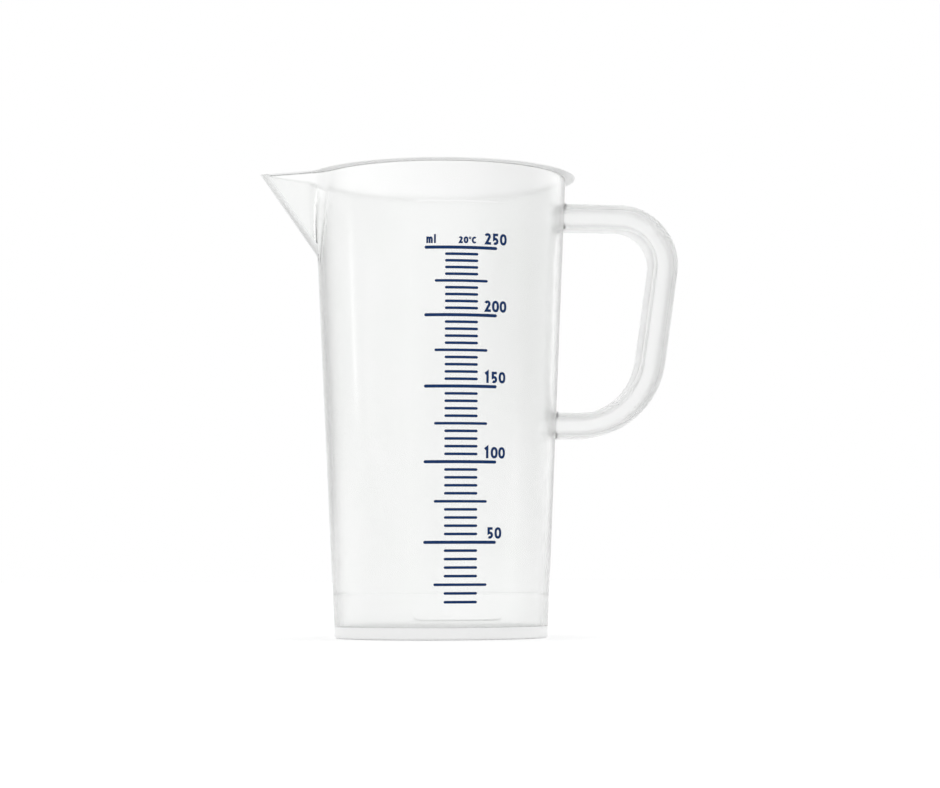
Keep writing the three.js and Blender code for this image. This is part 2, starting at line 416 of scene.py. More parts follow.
def screen_print_ink(colours):
    """Screen-print ink: matt and opaque, slightly uneven from the mesh of the screen."""
    name = "screen_print_ink"
    if name in bpy.data.materials:
        return bpy.data.materials[name]
    material, tree = new_material(name)
    place = add_node(tree, "ShaderNodeTexCoord").outputs["Object"]
    # A real screen's mesh is about 0.1 mm, too fine to show, so it is drawn at 0.35 mm.
    mesh_size = 0.35 * MM
    mesh_mark = add_node(tree, "ShaderNodeTexNoise", Vector=place, Scale=1 / mesh_size, Detail=2.0)
    tint = add_node(
        tree,
        "ShaderNodeMix",
        {"data_type": "RGBA"},
        Factor=mesh_mark.outputs["Fac"],
        _6=linear(colours.ink),
        _7=linear(colours.ink_thin),
    )
    relief = add_node(
        tree,
        "ShaderNodeBump",
        Strength=0.1,
        Distance=0.02 * MM,
        Height=mesh_mark.outputs["Fac"],
    )
    shader = add_node(
        tree,
        "ShaderNodeBsdfPrincipled",
        Base_Color=tint.outputs[2],
        Normal=relief.outputs[0],
        Roughness=0.6,
        IOR=1.5,
        Specular_IOR_Level=0.15,
    )
    add_node(tree, "ShaderNodeOutputMaterial", Surface=shader.outputs[0])
    return material


# Cup


def cone_radius(cup, z):
    """Outside radius of the wall at a height: a straight line from the table to the rim."""
    rim = cup.lip_radius - cup.lip_overhang
    return cup.base_radius + (rim - cup.base_radius) * z / cup.height


def spout_form(cup, spout):
    """Slope of the front edge, angle of the plates' level normal and outside radius of the nose.

    The plates lean, so their level thickness is more than the true one. The nose's radius depends on
    it, and the angle on the nose, so they settle together in a few passes.
    """
    tip = cup.lip_radius + spout.reach
    rim = cup.lip_radius - cup.lip_overhang
    corner = math.sqrt(rim**2 - spout.half_width**2)
    slope = (tip - cone_radius(cup, cup.height - spout.height)) / spout.height
    level_wall = spout.wall
    normal = 0.0
    for _ in range(8):
        nose = spout.nose + level_wall
        run = tip - nose - corner
        to_corner = math.atan2(spout.half_width, run)
        to_touch = math.acos(nose / math.hypot(run, spout.half_width))
        normal = math.pi - to_corner - to_touch
        level_wall = spout.wall * math.hypot(1, slope * math.cos(normal))
    return slope, normal, spout.nose + level_wall


def spout_radius(cup, spout, angle, z, nose):
    """How far a level ray from the axis runs before it leaves the spout, for a nose of some radius.

    A level section is a V with a round nose. The ray meets a plate at the plate's distance from the
    axis over the cosine of the angle between them, and the nose at the far root of its circle. The
    nose's middle moves in along the sloping front edge as the height drops.
    """
    slope, normal, nose_outside = spout_form(cup, spout)
    tip = cup.lip_radius + spout.reach
    middle = tip - nose_outside - slope * (cup.height - z)
    turn = np.abs(angle)
    plate = (middle * math.cos(normal) + nose) / np.cos(np.minimum(turn, normal) - normal)
    root = np.maximum(nose**2 - (middle * np.sin(turn)) ** 2, 0)
    round_nose = middle * np.cos(turn) + np.sqrt(root)
    touch = np.arctan2(nose * math.sin(normal), middle + nose * math.cos(normal))
    return np.where((turn < touch) & (middle > 0), round_nose, plate)


def with_spout(cup, spout, radius, angle, z, nose):
    """The larger of a radius and the spout's, with a corner whose rounding narrows down the spout."""
    part = np.clip(1 - (cup.height - z) / spout.height, FILLET_LEAST, 1)
    reach = spout.fillet * part**FILLET_POWER
    return smooth_max(radius, spout_radius(cup, spout, angle, z, nose), reach)


def panel_relief(cup, angle, z):
    """The field for the print: sunk inside a rectangle with round corners, drawn on the wall."""
    across = np.abs((angle - math.pi / 2) * cone_radius(cup, z)) - cup.panel_width / 2
    middle = (cup.panel_low + cup.panel_high) / 2
    along = np.abs(z - middle) - (cup.panel_high - cup.panel_low) / 2
    beyond = np.hypot(
        np.maximum(across + cup.panel_corner, 0),
        np.maximum(along + cup.panel_corner, 0),
    )
    inside = np.minimum(np.maximum(across, along) + cup.panel_corner, 0)
    distance = beyond + inside - cup.panel_corner
    # Half the width of the slope round the field
    edge = 0.16 * MM
    return -cup.panel_depth * (1 - smooth_step(-edge, edge, distance))


def cup_angles(cup):
    """Angles of the grid's columns.

    A cube with some even spacing draws them together at the spout. More columns lie at both sides of
    the print field and at the handle's roots.
    """
    part = np.linspace(-1, 1, COLUMNS, endpoint=False)
    even = 0.1
    base = math.pi * (even * part + (1 - even) * part**3)
    half = cup.panel_width / 2
    margin = 0.012
    wide = half / cone_radius(cup, cup.panel_low) + margin
    narrow = half / cone_radius(cup, cup.panel_high) - margin
    side = np.linspace(narrow, wide, 26)
    half_root = 0.21
    root = np.linspace(0, half_root, 18)
    field_sides = np.concatenate([math.pi / 2 - side, math.pi / 2 + side])
    roots = np.concatenate([math.pi - root[1:], root - math.pi])
    angles = np.sort(np.concatenate([base, field_sides, roots]))
    gaps = np.diff(angles, append=angles[0] + 2 * math.pi)
    return angles[gaps > CLOSEST_COLUMNS]


def rows_in_order(*groups):
    """Heights of several evenly spaced groups (low, high, count), sorted, none closer than 0.1 mm."""
    closest = 0.1 * MM
    heights = np.sort(np.concatenate([np.linspace(*group) for group in groups]))
    slots = np.round(heights / closest)
    return heights[np.append(True, np.diff(slots) > 0)][:, None]


def cup_rows(cup, spout, handle, angle):
    """Radius and height of every row of the cup's skin, from the underside's middle to the floor's.

    The skin runs out under the floor, round the foot, up the outside, over the lip, down the inside
    and in over the floor. Outside and inside are the larger of the cone with its lip and the spout,
    with a rounded corner between them.
    """
    _, _, nose_outside = spout_form(cup, spout)
    edge = cup.edge_round
    ones = np.ones_like(angle)
    radii = []
    heights = []

    def add(radius, z):
        """Adds rows whose radius may change round the cup and whose height does not."""
        for row_radius, row_z in zip(radius, z):
            radii.append(row_radius * ones)
            heights.append(row_z * ones)

    quarter = np.linspace(0, math.pi / 2, 7)

    # Underside and foot, whose inner edges are rounded by a small step
    foot_inside = cup.base_radius - cup.foot_width
    step = 0.35 * MM
    under = np.array([0.2, 0.4, 0.6, 0.8, 0.93]) * foot_inside
    add(under, cup.floor_underside * np.ones_like(under))
    add(
        foot_inside - step + step * np.sin(quarter[::2]),
        cup.floor_underside - step + step * np.cos(quarter[::2]),
    )
    add(
        foot_inside + step - step * np.cos(quarter[::2]),
        step - step * np.sin(quarter[::2]),
    )
    round_middle = cone_radius(cup, cup.foot_round) - cup.foot_round
    add(
        round_middle + cup.foot_round * np.sin(quarter),
        cup.foot_round - cup.foot_round * np.cos(quarter),
    )

    # Outside of the wall: rows lie close at the print field's ends, the handle's root and the spout
    low_spout = cup.height - spout.height
    lip_low = cup.height - cup.lip_height
    arm_low = lip_low - handle.below_lip - handle.height
    z = rows_in_order(
        (cup.foot_round + 0.4 * MM, cup.panel_low - MM, 4),
        (cup.panel_low - 0.5 * MM, cup.panel_low + 0.5 * MM, 9),
        (cup.panel_low + MM, cup.panel_low + cup.panel_corner + MM, 6),
        (11 * MM, low_spout - 5 * MM, 16),
        (arm_low - 1.5 * MM, arm_low + 8.5 * MM, 18),
        (low_spout - 3 * MM, lip_low - 0.5 * MM, 26),
        (cup.panel_high - 0.5 * MM, cup.panel_high + 0.5 * MM, 9),
    )
    cone = cone_radius(cup, z) + panel_relief(cup, angle[None], z)
    add(with_spout(cup, spout, cone, angle[None], z, nose_outside), z)

    # Lip: a quarter of a square ellipse outside, a small round edge, and the same back inside
    turn = np.linspace(0, math.pi / 2, 16)[:, None]
    along = np.clip(np.cos(turn), 0, 1) ** SQUARE
    up = np.sin(turn) ** SQUARE
    run = cup.lip_radius - edge - cone_radius(cup, lip_low)
    rise = cup.lip_height - cup.lip_edge
    z = lip_low + rise * up
    flare = cup.lip_radius - edge - run * along
    add(with_spout(cup, spout, flare, angle[None], z, nose_outside), z)
    corner = np.linspace(0, math.pi / 2, 6)[1:, None]
    z = lip_low + rise + edge * (1 - np.cos(corner))
    edge_radius = cup.lip_radius - edge + edge * np.sin(corner)
    add(with_spout(cup, spout, edge_radius, angle[None], z, nose_outside), z)
    top = with_spout(cup, spout, cup.lip_radius, angle[None], cup.height, nose_outside)
    corner = np.linspace(0, math.pi / 2, 6)[:, None]
    add(top - edge * (1 - np.cos(corner)), cup.height - edge + edge * np.sin(corner))
    # Both roundings of the edge lie between outside and inside, with a little flat between them
    inner_edge = 2.2 * edge
    run = cup.lip_radius - inner_edge - (cone_radius(cup, lip_low) - cup.wall)
    z = lip_low + cup.lip_height * up[::-1]
    flare = cup.lip_radius - inner_edge - run * along[::-1]
    mouth = with_spout(cup, spout, flare, angle[None], z, spout.nose)
    # The plates' inner edge is rounded as well: it falls back by a quarter circle below the top.
    drop = np.clip((cup.height - z) / edge, 0, 1)
    ease = edge * (1 - np.sqrt(1 - (1 - drop) ** 2))
    least_edge = 1.15 * edge
    add(np.minimum(mouth + ease, top - least_edge), z)

    # Inside of the wall, and the floor
    floor_corner = cup.floor_top + cup.floor_round
    z = rows_in_order(
        (floor_corner + 0.5 * MM, cup.ring_height - 2 * MM, 4),
        (cup.ring_height - 0.6 * MM, cup.ring_height + 0.6 * MM, 9),
        (cup.ring_height + 2 * MM, low_spout - 5 * MM, 14),
        (low_spout - 3 * MM, lip_low - 0.5 * MM, 26),
    )[::-1]
    ring_width = 0.2 * MM
    ring = cup.ring_depth * np.exp(-(((z - cup.ring_height) / ring_width) ** 2))
    cone = cone_radius(cup, z) - cup.wall + ring
    add(with_spout(cup, spout, cone, angle[None], z, spout.nose), z)
    floor_radius = cone_radius(cup, floor_corner) - cup.wall - cup.floor_round
    add(
        floor_radius + cup.floor_round * np.cos(quarter),
        floor_corner - cup.floor_round * np.sin(quarter),
    )
    over = np.array([0.9, 0.75, 0.55, 0.35, 0.17]) * floor_radius
    add(over, cup.floor_top * np.ones_like(over))
    return np.array(radii), np.array(heights)


def build_cup(context):
    """The cup's skin as one closed grid with a pole under and a pole over the floor."""
    scene = context.scene
    angle = cup_angles(scene.jug_cup)
    radius, z = cup_rows(scene.jug_cup, scene.jug_spout, scene.jug_handle, angle)
    rows, columns = radius.shape
    skin = on_axis(radius, angle[None], z).reshape(-1, 3)
    poles = on_axis(
        np.zeros(2),
        np.zeros(2),
        np.array([scene.jug_cup.floor_underside, scene.jug_cup.floor_top]),
    )
    points = np.concatenate([skin, poles])
    under_pole = rows * columns
    over_pole = under_pole + 1
    here = np.arange(columns)
    after = (here + 1) % columns
    last = (rows - 1) * columns
    quads = grid_faces(rows, columns)
    first_fan = np.stack([np.full(columns, under_pole), after, here], axis=-1)
    last_fan = np.stack([np.full(columns, over_pole), last + here, last + after], axis=-1)
    faces = quads.tolist() + first_fan.tolist() + last_fan.tolist()
    thin_wall = natural_polypropylene(scene.jug_colours, "thin_wall")
    return new_object("jug_moulding", points, faces, thin_wall)


# Handle


def rounded_outline(corners, radii, steps):
    """A closed outline whose corners are circle arcs that touch both sides.

    A longer side gets a point close to each of its ends, so that smooth shading leaves it flat.
    """
    close = 0.12 * MM
    pieces = []
    count = len(corners)
    for index in range(count):
        before = corners[index - 1] - corners[index]
        after = corners[(index + 1) % count] - corners[index]
        before = before / np.linalg.norm(before)
        after = after / np.linalg.norm(after)
        half = math.acos(np.clip(before @ after, -1, 1)) / 2
        inwards = (before + after) / np.linalg.norm(before + after)
        middle = corners[index] + inwards * radii[index] / math.sin(half)
        start = corners[index] + before * radii[index] / math.tan(half) - middle
        end = corners[index] + after * radii[index] / math.tan(half) - middle
        first = math.atan2(start[1], start[0])
        turn = math.atan2(start[0] * end[1] - start[1] * end[0], start @ end)
        angle = first + turn * np.linspace(0, 1, steps)
        arc = middle + radii[index] * np.stack([np.cos(angle), np.sin(angle)], axis=-1)
        if pieces and np.linalg.norm(arc[0] - pieces[-1][-1]) > 4 * close:
            pieces.append(np.array([pieces[-1][-1] - before * close, arc[0] + before * close]))
        pieces.append(arc)
    ahead = pieces[0][0] - pieces[-1][-1]
    ahead = ahead / np.linalg.norm(ahead)
    if np.linalg.norm(pieces[0][0] - pieces[-1][-1]) > 4 * close:
        pieces.append(np.array([pieces[-1][-1] + ahead * close, pieces[0][0] - ahead * close]))
    return np.concatenate(pieces)


def handle_section(handle):
    """The I-section as points of width and depth: two flanges, and a web with fillets between them."""
    half = handle.width / 2
    web = handle.web / 2
    depth = handle.depth
    flange = handle.flange
    corners = np.array(
        [
            (-half, 0),
            (half, 0),
            (half, flange),
            (web, flange),
            (web, depth - flange),
            (half, depth - flange),
            (half, depth),
            (-half, depth),
            (-half, depth - flange),
            (-web, depth - flange),
            (-web, flange),
            (-half, flange),
        ]
    )
    edge = handle.edge_round
    fillet = handle.web_fillet
    radii = np.array([edge, edge, edge, fillet, fillet, edge, edge, edge, edge, fillet, fillet, edge])
    return rounded_outline(corners, radii, 9)


def outline_normals(outline):
    """Outward normals of a closed outline that runs with its inside on the left."""
    along = np.roll(outline, -1, axis=0) - np.roll(outline, 1, axis=0)
    normal = np.stack([along[:, 1], -along[:, 0]], axis=-1)
    return normal / np.linalg.norm(normal, axis=-1, keepdims=True)


def build_handle(context):
    """The section carried along the D: arm, bend, leaning grip, bend, arm.

    The bends are circle arcs on the outer face and the grip touches both. Near the wall the section
    grows by a quarter circle, which is the root's fillet, and each arm ends a little inside the wall,
    on a cone of its own.
    """
    scene = context.scene
    cup = scene.jug_cup
    handle = scene.jug_handle
    top = cup.height - cup.lip_height - handle.below_lip
    bottom = top - handle.height
    upper = np.array([cup.lip_radius + handle.reach - handle.top_radius, top - handle.top_radius])
    grip = np.array([math.cos(handle.lean), -math.sin(handle.lean)])
    face = grip @ upper + handle.top_radius
    lower_z = bottom + handle.bottom_radius
    lower = np.array([(face - handle.bottom_radius - grip[1] * lower_z) / grip[0], lower_z])

    # Stations on the bends and the grip: a point on the outer face and the direction outwards
    upper_turn = np.linspace(math.pi / 2, -handle.lean, 40)
    lower_turn = np.linspace(-handle.lean, -math.pi / 2, 40)
    upper_out = np.stack([np.cos(upper_turn), np.sin(upper_turn)], axis=-1)
    lower_out = np.stack([np.cos(lower_turn), np.sin(lower_turn)], axis=-1)
    upper_face = upper + handle.top_radius * upper_out
    lower_face = lower + handle.bottom_radius * lower_out
    part = np.array([0.01, 0.25, 0.5, 0.75, 0.99])[:, None]
    grip_face = upper_face[-1] * (1 - part) + lower_face[0] * part
    outwards = np.concatenate([upper_out, np.broadcast_to(grip, grip_face.shape), lower_out])
    faces_line = np.concatenate([upper_face, grip_face, lower_face])

    outline = handle_section(handle)
    normals = outline_normals(outline)
    width = outline[None, :, 0]
    middle = faces_line[:, None] - outwards[:, None] * outline[None, :, 1:2]
    bend_points = np.stack(
        np.broadcast_arrays(middle[..., 0], width, middle[..., 1]),
        axis=-1,
    )

    # Arms: distance from the wall sets how much the section grows
    fillet = handle.root_fillet
    fillet_turn = np.linspace(0, math.pi / 2, 9)
    inside = [-handle.root_sink, -0.2 * MM]
    close = np.concatenate([inside, fillet * (1 - np.cos(fillet_turn))])

    def arm(face_z, sign, bend_x):
        """One arm from the wall out to its bend. Sign is -1 for the upper arm, whose depth runs down."""
        root = np.sqrt(np.maximum(fillet**2 - (fillet - close) ** 2, 0))
        grow = np.where(close < 0, fillet, fillet - root)
        shape = outline[None] + normals[None] * grow[:, None, None]
        z = face_z + sign * shape[..., 1]
        y = shape[..., 0]
        wall_x = np.sqrt(cone_radius(cup, z) ** 2 - y**2)
        near = np.stack(np.broadcast_arrays(wall_x + close[:, None], y, z), axis=-1)
        away = np.array([0.02, 0.3, 0.7, 0.98])[:, None, None]
        last = near[-1:]
        reach = last.copy()
        reach[..., 0] = bend_x
        return np.concatenate([near, last * (1 - away) + reach * away])

    upper_arm = arm(top, -1, upper[0])
    lower_arm = arm(bottom, 1, lower[0])[::-1]
    points = np.concatenate([upper_arm, bend_points, lower_arm])
    points[..., 0] += AXIS_X
    rows, columns = points.shape[:2]
    quads = grid_faces(rows, columns)
    first_cap = list(range(columns))[::-1]
    last_cap = [(rows - 1) * columns + column for column in range(columns)]
    faces = quads.tolist() + [first_cap, last_cap]
    satin = natural_polypropylene(scene.jug_colours, "satin")
    return new_object("handle", points, faces, satin)


def face_finish(context, mesh):
    """The finish of each face.

    0 is the thin wall, 1 the handle, 2 the foot, the floor and the lip, and 3 the spout's front edge.
    """
    cup = context.scene.jug_cup
    spout = context.scene.jug_spout
    middle = np.empty(3 * len(mesh.polygons))
    mesh.polygons.foreach_get("center", middle)
    x, y, z = middle.reshape(-1, 3).T
    out = x - AXIS_X
    above = z - cup.height + spout.height
    front = cup.lip_radius + spout.reach - spout_form(cup, spout)[0] * (spout.height - above)
    beyond = np.hypot(out, y) > cone_radius(cup, z) + PAST_WALL
    nose = (-out > front - spout.front_band) & (above > 0) & beyond
    lip = z > cup.height - cup.lip_height
    # A little above the rounding between floor and wall, so that all of it counts as floor
    foot_top = cup.floor_top + cup.floor_round + 0.1 * MM
    foot = z < foot_top
    handle = (out > 0) & beyond
    return np.select([nose, lip | foot, handle], [3, 2, 1], 0).astype(np.int32)


def build_moulding(context):
    """The cup and the handle joined by an exact union, so that no face is left inside the plastic."""
    colours = context.scene.jug_colours
    cup = build_cup(context)
    handle = build_handle(context)
    union = cup.modifiers.new("handle", "BOOLEAN")
    union.operation = "UNION"
    union.solver = "EXACT"
    union.object = handle
    joined = cup.evaluated_get(context.evaluated_depsgraph_get())
    mesh = bpy.data.meshes.new_from_object(joined)
    mesh.materials.clear()
    mesh.materials.append(cup.data.materials[0])
    mesh.materials.append(handle.data.materials[0])
    mesh.materials.append(natural_polypropylene(colours, "solid"))
    mesh.materials.append(natural_polypropylene(colours, "edge"))
    cup.modifiers.clear()
    cup.data = mesh
    mesh.polygons.foreach_set("material_index", face_finish(context, mesh))
    mesh.shade_smooth()
    bpy.data.objects.remove(handle)
    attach(cup, BODY)
    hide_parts(*MOULDED_NODES)


# Print


def print_surface(cup, z):
    """Radius of the sunk field that carries the print, at a height."""
    return cone_radius(cup, z) - cup.panel_depth


def wrapped(context, across, z, proud):
    """Points of the print at an arc length from the scale's middle, at a height, standing proud."""
    radius = print_surface(context.scene.jug_cup, z)
    arc = across + context.scene.jug_print.middle
    return on_axis(radius + proud, math.pi / 2 + arc / radius, z)


def build_line(context, node):
    """One line of the scale: a bar with round ends, bent round the wall, at the height of its CAD line.

    Its half height follows a circle at both ends, and its section is a low hump of ink.
    """
    scene = context.scene
    cup = scene.jug_cup
    sizes = scene.jug_print
    low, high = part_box(node)
    z_middle = (low.z + high.z) / 2
    half_height = (high.z - low.z) / 2
    half_length = (high.x - low.x) / 2
    surface = print_surface(cup, z_middle)
    half_length = surface * math.asin(min(half_length / surface, 1))
    # The round ends stop just short of their points, where a small flat cap closes them.
    first_turn = 0.12
    turn = np.linspace(first_turn, math.pi / 2, 5)
    cap = half_length - half_height + half_height * np.cos(turn)
    cap_height = half_height * np.sin(turn)
    flat_rows = 7
    flat = np.linspace(-1, 1, flat_rows + 2)[1:-1] * (half_length - half_height)
    across = np.concatenate([-cap, flat, cap[::-1]])
    height = np.concatenate([cap_height, np.full(flat_rows, half_height), cap_height[::-1]])
    z = z_middle + height[:, None] * INK_HUMP[None, :, 0]
    proud = -sizes.ink_sink + (sizes.ink_sink + sizes.ink) * INK_HUMP[None, :, 1]
    points = wrapped(context, across[:, None] + 0 * z, z, proud + 0 * z)
    rows, columns = z.shape
    quads = grid_faces(rows, columns)
    caps = [list(range(columns))[::-1], [(rows - 1) * columns + column for column in range(columns)]]
    name = node.replace("line_", "ink_line_")
    piece = new_object(name, points, quads.tolist() + caps, screen_print_ink(scene.jug_colours))
    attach(piece, BODY)
    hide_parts(node)


def bow(x, y, wide, high, first, last, steps=16, full=1.0):
    """Points on the arc of an ellipse about (x, y), from one angle to another in degrees.

    Sine and cosine are raised to the power full, so that less than 1 gives fuller shoulders.
    """
    turn = np.radians(np.linspace(first, last, steps))
    across = np.sign(np.cos(turn)) * np.abs(np.cos(turn)) ** full
    up = np.sign(np.sin(turn)) * np.abs(np.sin(turn)) ** full
    return np.stack([x + wide * across, y + high * up], axis=-1)


def sign_strokes(sign, ink):
    """Room that a sign takes along its line, and the middle lines of its strokes, for a sign 1 high.

    The strokes are ink wide. A middle line that ends where it starts is a ring.
    """
    edge = ink / 2
    low = edge
    high = 1 - edge
    small = 0.74
    stem = (edge, 0.365, 0.73 - edge)
    arch = (stem[1] - stem[0]) / 2
    arch_rise = 0.2
    arches = [
        np.concatenate(
            [
                bow(left + arch, small - edge - arch_rise, arch, arch_rise, 180, 0),
                [(right, 0)],
            ]
        )
        for left, right in zip(stem, stem[1:])
    ]
    signs = {
        "0": (0.75, [bow(0.345, 0.5, 0.345 - edge, 0.5 - edge, 0, 360, 41, 0.85)]),
        "1": (0.75, [np.array([(0.2, 0.79), (0.42, 0.955), (0.42, 0)])]),
        "2": (
            0.75,
            [
                np.concatenate(
                    [
                        bow(0.31, 0.71, 0.3 - edge, 0.29 - edge, 160, -32),
                        [(0.19, low), (0.63, low)],
                    ]
                )
            ],
        ),
        "5": (
            0.75,
            [
                np.concatenate(
                    [
                        [(0.56, high), (0.18, high)],
                        bow(0.29, 0.315, 0.315 - edge, 0.315 - edge, 122, -128, 22),
                    ]
                )
            ],
        ),
        "m": (0.86, [np.array([(stem[0], 0), (stem[0], small)]), *arches]),
        "l": (ink, [np.array([(edge, 0), (edge, 1)])]),
        "°": (0.45, [bow(0.19, 0.8, 0.13, 0.13, 0, 360, 25)]),
        "C": (0.8, [bow(0.4, 0.5, 0.4 - edge, 0.5 - edge, 48, 312, 28)]),
    }
    return signs[sign]


def stroke_sides(line, ring):
    """Offsets of unit size to a stroke's left at each point of its middle line.

    At a corner the two normals' sum over one plus their product keeps the stroke's width.
    """
    ahead = np.diff(line, axis=0, append=line[:1])
    if not ring:
        ahead[-1] = ahead[-2]
    ahead = ahead / np.linalg.norm(ahead, axis=-1, keepdims=True)
    left = np.stack([-ahead[:, 1], ahead[:, 0]], axis=-1)
    before = np.roll(left, 1, axis=0)
    if not ring:
        before[0] = left[0]
    product = np.sum(left * before, axis=-1, keepdims=True)
    # A floor under the sum, so that a sharp corner doesn't run out to a spike
    least_sum = 0.35
    return (left + before) / np.maximum(1 + product, least_sum)


def build_word(context, name, text, height, ink, across, z):
    """A word of the print: strokes with the lines' hump of ink, bent round the wall.

    Each stroke is the hump carried along the stroke's middle line.
    """
    scene = context.scene
    points = []
    faces = []
    count = 0
    room = 0.0
    for sign in text:
        advance, lines = sign_strokes(sign, ink / height)
        for line in lines:
            ring = np.allclose(line[0], line[-1])
            middle = line[:-1] if ring else line
            sides = stroke_sides(middle, ring)
            # The degree sign's ring is too small for a stroke of full width.
            half = ink / height / (4 if sign == "°" else 2)
            place = middle[:, None] + sides[:, None] * INK_HUMP[None, :, :1] * half
            place[..., 0] += room
            proud = np.broadcast_to(INK_HUMP[None, :, 1], place.shape[:2])
            points.append(np.concatenate([place, proud[..., None]], axis=-1).reshape(-1, 3))
            rows, columns = place.shape[:2]
            quads = grid_faces(rows, columns, ring) + count
            faces += quads.tolist()
            if not ring:
                first = np.arange(columns) + count
                faces += [first[::-1].tolist(), (first + (rows - 1) * columns).tolist()]
            count += rows * columns
        room += advance
    flat = np.concatenate(points)
    middle = (flat[:, 0].min() + flat[:, 0].max()) / 2
    print_sizes = scene.jug_print
    proud = -print_sizes.ink_sink + (print_sizes.ink_sink + print_sizes.ink) * flat[:, 2]
    arc = across + (flat[:, 0] - middle) * height
    shape = wrapped(context, arc, z + flat[:, 1] * height, proud)
    piece = new_object(name, shape, faces, screen_print_ink(scene.jug_colours))
    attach(piece, BODY)


# Stage


def seen_directly(tree):
    """1 for rays that show the background itself: from the camera, in a gloss or through the plastic."""
    path = add_node(tree, "ShaderNodeLightPath")
    glossy = add_node(
        tree,
        "ShaderNodeMath",
        {"operation": "MAXIMUM"},
        _0=path.outputs["Is Camera Ray"],
        _1=path.outputs["Is Glossy Ray"],
    )
    through = add_node(
        tree,
        "ShaderNodeMath",
        {"operation": "MAXIMUM"},
        _0=glossy.outputs[0],
        _1=path.outputs["Is Transmission Ray"],
    )
    return through.outputs[0]


def white_paper(colours):
    """White paper: a matt floor that keeps the jug's shadow.

    What it lacks to white is added for rays that show the background. Less is added through the
    plastic, which paints shade on the paper seen behind and under the jug.
    """
    material, tree = new_material("white_paper")
    direct = seen_directly(tree)
    diffuse = add_node(tree, "ShaderNodeBsdfDiffuse", Color=linear(colours.floor))
    path = add_node(tree, "ShaderNodeLightPath")
    through = add_node(
        # Painted shade: rays through the plastic see the paper with a smaller glow, so it looks darker
        # than its light makes it.
        tree,
        "ShaderNodeMapRange",
        Value=path.outputs["Is Transmission Ray"],
        To_Min=PAPER_LIFT,
        To_Max=PAPER_LIFT_THROUGH_PAINTED_SHADE,
    )
    lift = add_node(
        tree,
        "ShaderNodeMath",
        {"operation": "MULTIPLY"},
        _0=direct,
        _1=through.outputs[0],
    )
    glow = add_node(tree, "ShaderNodeEmission", Color=(1, 1, 1, 1), Strength=lift.outputs[0])
    both = add_node(tree, "ShaderNodeAddShader", _0=diffuse.outputs[0], _1=glow.outputs[0])
    add_node(tree, "ShaderNodeOutputMaterial", Surface=both.outputs[0])
    return material


def build_world(context, back, right):
    """A white studio with two grey screens, behind the jug's left and at its right.

    A ramp gives the wall's level by the turn from straight behind the jug, and the ceiling is white.
    The camera's own rays and matt surfaces see plain white.
    """
    world = bpy.data.worlds.new("studio")
    world.use_nodes = True
    context.scene.world = world
    tree = world.node_tree
    tree.nodes.clear()
    ray = add_node(tree, "ShaderNodeTexCoord").outputs["Generated"]
    along = {"operation": "DOT_PRODUCT"}
    to_right = add_node(tree, "ShaderNodeVectorMath", along, _0=ray, _1=right).outputs["Value"]
    to_back = add_node(tree, "ShaderNodeVectorMath", along, _0=ray, _1=back).outputs["Value"]
    turn = add_node(tree, "ShaderNodeMath", {"operation": "ARCTAN2"}, _0=to_right, _1=to_back)
    place = add_node(
        tree,
        "ShaderNodeMapRange",
        Value=turn.outputs[0],
        From_Min=-math.pi,
        From_Max=math.pi,
    )
    wall = add_node(tree, "ShaderNodeValToRGB", Fac=place.outputs[0])
    stops = wall.color_ramp.elements
    for _ in STUDIO_WALL[2:]:
        stops.new(1.0)
    for stop, (degrees, level) in zip(stops, STUDIO_WALL):
        stop.position = (degrees + 180) / 360
        stop.color = (level, level, level, 1)
    height = add_node(tree, "ShaderNodeSeparateXYZ", Vector=ray).outputs["Z"]
    overhead = add_node(
        tree,
        "ShaderNodeMapRange",
        {"interpolation_type": "SMOOTHSTEP"},
        Value=height,
        From_Min=CEILING_LOW,
        From_Max=CEILING_HIGH,
    )
    shade = add_node(
        tree,
        "ShaderNodeMix",
        {"data_type": "RGBA"},
        Factor=overhead.outputs[0],
        _6=wall.outputs["Color"],
        _7=(1, 1, 1, 1),
    )
    studio = add_node(tree, "ShaderNodeBackground", Color=shade.outputs[2], Strength=1.0)
    white = add_node(tree, "ShaderNodeBackground", Color=(1, 1, 1, 1), Strength=1.0)
    path = add_node(tree, "ShaderNodeLightPath")
    plain = add_node(
        tree,
        "ShaderNodeMath",
        {"operation": "MAXIMUM", "use_clamp": True},
        _0=path.outputs["Is Camera Ray"],
        _1=path.outputs["Diffuse Depth"],
    )
    shown = add_node(
        tree,
        "ShaderNodeMixShader",
        _0=plain.outputs[0],
        _1=studio.outputs[0],
        _2=white.outputs[0],
    )
    add_node(tree, "ShaderNodeOutputWorld", Surface=shown.outputs[0])


def add_softbox(context, name, place, aim, width, tall, power):
    """A rectangular area lamp at a place, turned to a point."""
    lamp = bpy.data.lights.new(name, "AREA")
    lamp.shape = "RECTANGLE"
    lamp.size = width
    lamp.size_y = tall
    lamp.energy = power
    holder = bpy.data.objects.new(name, lamp)
    turn = (aim - place).to_track_quat("-Z", "Y")
    holder.matrix_world = Matrix.Translation(place) @ turn.to_matrix().to_4x4()
    holder.visible_camera = False
    context.scene.collection.objects.link(holder)


